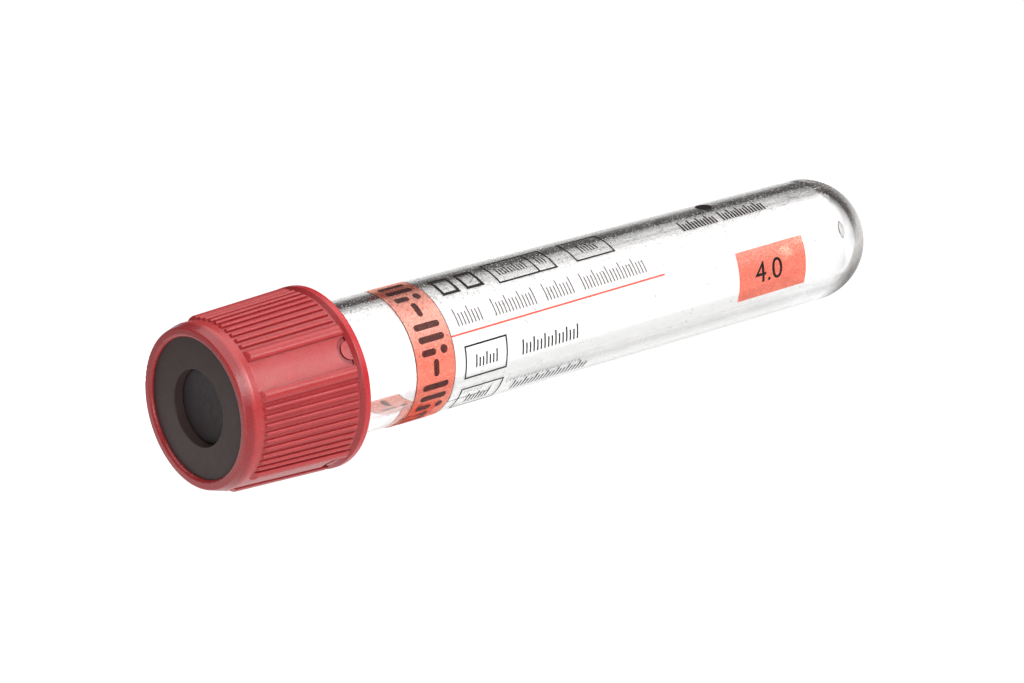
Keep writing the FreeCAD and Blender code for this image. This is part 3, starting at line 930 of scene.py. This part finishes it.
def cap_plastic():
    """Satin red moulded shell: mottled, with painted shade in its hollows, its mark and the flange's
    step, and a deeper red of painted shade on the flange.
    """
    material, tree, shader, _ = new_material("cap_red_plastic")
    tone = spread(tree, noise(tree, 350, 3), 0.3, 0.7)
    fine = spread(tree, noise(tree, 8500, 2), -0.35, 0.35)
    mottled = tones(tree, combine(tree, "ADD", tone, fine), *CAP_REDS)
    share, flange = cap_shade_shares(tree)
    # painted shade: the flange's deeper red
    full = tones(tree, flange, mottled, FLANGE_SHADE_RED)
    # painted shade: the deeper red in hollows, in the groove and on the step
    tree.links.new(tones(tree, share, CAP_SHADE_RED, full), shader.inputs["Base Color"])
    shader.inputs["IOR"].default_value = 1.5
    shader.inputs["Subsurface Weight"].default_value = 0.15
    shader.inputs["Subsurface Radius"].default_value = (1.0, 0.25, 0.2)
    shader.inputs["Subsurface Scale"].default_value = 0.0008
    grain = noise(tree, 7000, 3, 0.6)
    tree.links.new(spread(tree, grain, 0.24, 0.4), shader.inputs["Roughness"])
    bump(tree, grain, 0.4, 0.00003, shader)
    return material


def ring_plastic():
    """Matt black of the retaining ring."""
    material, tree, shader, _ = new_material("ring_black_plastic")
    tree.links.new(tones(tree, noise(tree, 500, 3), *RING_BLACKS), shader.inputs["Base Color"])
    shader.inputs["Specular IOR Level"].default_value = 0.2
    grain = noise(tree, 3200, 4, 0.6)
    tree.links.new(spread(tree, grain, 0.42, 0.56), shader.inputs["Roughness"])
    bump(tree, grain, 0.25, 0.00002, shader)
    return material


def stopper_rubber():
    """Dark grey rubber of the stopper."""
    material, tree, shader, _ = new_material("stopper_grey_rubber")
    tree.links.new(tones(tree, noise(tree, 700, 3), *STOPPER_GREYS), shader.inputs["Base Color"])
    shader.inputs["Specular IOR Level"].default_value = 0.25
    grain = noise(tree, 1800, 4, 0.6)
    tree.links.new(spread(tree, grain, 0.45, 0.62), shader.inputs["Roughness"])
    bump(tree, grain, 0.15, 0.00002, shader)
    return material


def paint_node(node, material):
    """Gives a CAD node its finish."""
    mesh = frame["nodes"][node].data
    mesh.materials.clear()
    mesh.materials.append(material)


# ---------------------------------------------------------------- stage, light and camera

def glow_pattern(tree):
    """Strength of the table's glow: a soft-edged pool, with a brighter strip behind the tube."""
    coordinates = tree.nodes.new("ShaderNodeTexCoord")
    turned = tree.nodes.new("ShaderNodeMapping")
    turned.vector_type = "POINT"
    turned.inputs["Rotation"].default_value = (0, 0, math.radians(VIEW_AZIMUTH))
    tree.links.new(coordinates.outputs["Object"], turned.inputs["Vector"])
    split = tree.nodes.new("ShaderNodeSeparateXYZ")
    tree.links.new(turned.outputs["Vector"], split.inputs["Vector"])
    away = split.outputs["Y"]
    sideways = tree.nodes.new("ShaderNodeMath")
    sideways.operation = "ABSOLUTE"
    tree.links.new(split.outputs["X"], sideways.inputs[0])
    widened = tree.nodes.new("ShaderNodeMath")
    widened.operation = "MULTIPLY_ADD"
    tree.links.new(away, widened.inputs[0])
    widened.inputs[1].default_value = -POOL_SPREAD
    tree.links.new(sideways.outputs[0], widened.inputs[2])
    sides = ramp(tree, widened.outputs[0], *POOL_SIDES, 1, 0)
    back = ramp(tree, away, *POOL_BACK, 1, 0)
    front = ramp(tree, away, -POOL_FRONT[1], -POOL_FRONT[0], 0, 1)
    pool = product(tree, sides, back, front)
    even = ramp(tree, pool, 0, 1, FAR_GLOW, POOL_GLOW)
    plain = tree.nodes.new("ShaderNodeSeparateXYZ")
    tree.links.new(coordinates.outputs["Object"], plain.inputs["Vector"])
    near = ramp(tree, plain.outputs["Y"], *BOOST_NEAR, 0, BOOST)
    far = ramp(tree, plain.outputs["Y"], *BOOST_FAR, 1, 0)
    return combine(tree, "ADD", even, product(tree, near, far, pool))


def make_stage():
    """Pale table with a glow of its own, so that shadows stay faint."""
    half = FLOOR_HALF
    corners = [(-half, -half, 0), (half, -half, 0), (half, half, 0), (-half, half, 0)]
    mesh = bpy.data.meshes.new("floor")
    mesh.from_pydata(corners, [], [(0, 1, 2, 3)])
    floor = bpy.data.objects.new("floor", mesh)
    bpy.context.scene.collection.objects.link(floor)
    material, tree, shader, _ = new_material("floor_white")
    give(tree, (FLOOR_TONE, FLOOR_TONE, FLOOR_TONE), shader.inputs["Base Color"])
    shader.inputs["Roughness"].default_value = 0.9
    shader.inputs["Specular IOR Level"].default_value = 0.0
    give(tree, WHITE, shader.inputs["Emission Color"])
    tree.links.new(glow_pattern(tree), shader.inputs["Emission Strength"])
    mesh.materials.append(material)


def area_light(name, location, size, power):
    """Square light, turned to the middle of the scene."""
    data = bpy.data.lights.new(name, "AREA")
    data.shape = "SQUARE"
    data.size = size
    data.energy = power
    light = bpy.data.objects.new(name, data)
    light.location = location
    light.rotation_mode = "QUATERNION"
    light.rotation_quaternion = (-Vector(location)).to_track_quat("-Z", "Y")
    bpy.context.scene.collection.objects.link(light)


def make_light():
    """Three soft lights and a dim grey room."""
    area_light("overhead", OVERHEAD_PLACE, OVERHEAD_SIZE, OVERHEAD_POWER)
    area_light("key", tuple(LIGHT_DISTANCE * c for c in KEY_DIRECTION), KEY_SIZE, KEY_POWER)
    area_light("fill", tuple(LIGHT_DISTANCE * c for c in FILL_DIRECTION), FILL_SIZE, FILL_POWER)
    world = bpy.data.worlds.new("studio")
    world.use_nodes = True
    background = world.node_tree.nodes["Background"]
    background.inputs["Color"].default_value = (*ROOM_GREY, 1)
    background.inputs["Strength"].default_value = 1.0
    bpy.context.scene.world = world


def make_camera():
    """Camera where the photo's stood."""
    a = math.radians(VIEW_AZIMUTH)
    e = math.radians(VIEW_ELEVATION)
    forward = Vector((math.sin(a) * math.cos(e), math.cos(a) * math.cos(e), -math.sin(e)))
    data = bpy.data.cameras.new("camera")
    data.lens = LENS
    data.sensor_width = SENSOR_WIDTH
    data.clip_start = 0.01
    data.clip_end = 20
    camera = bpy.data.objects.new("camera", data)
    camera.location = (Vector(VIEW_TARGET) - forward * VIEW_DISTANCE) * MM
    camera.rotation_mode = "QUATERNION"
    camera.rotation_quaternion = forward.to_track_quat("-Z", "Y")
    bpy.context.scene.collection.objects.link(camera)
    bpy.context.scene.camera = camera


# ---------------------------------------------------------------- build

make_tube([clear_plastic(), coated_plastic()])
make_beads(bead_white())
make_film(film())
make_print(
    salmon=ink_salmon(),
    bold=ink_dark("label_ink_bold", (0.03, 0.018, 0.018), 0.62),
    dark=ink_dark("label_ink_dark", (0.012, 0.008, 0.008), 0.98),
    grey=ink_dark("label_ink_grey", (0.07, 0.05, 0.05), 0.8),
    red=ink_dark("label_ink_red", (0.75, 0.09, 0.05), 0.8),
    edge=ink_dark("label_ink_edge", (0.06, 0.018, 0.015), 0.8),
)
paint_node("cap", cap_plastic())
paint_node("ring", ring_plastic())
paint_node("stopper", stopper_rubber())

make_stage()
make_light()
make_camera()
scene = bpy.context.scene
scene.view_settings.view_transform = "Standard"

# Light crosses many clear layers here
scene.cycles.transparent_max_bounces = 32
scene.cycles.transmission_bounces = 24
scene.cycles.max_bounces = 24
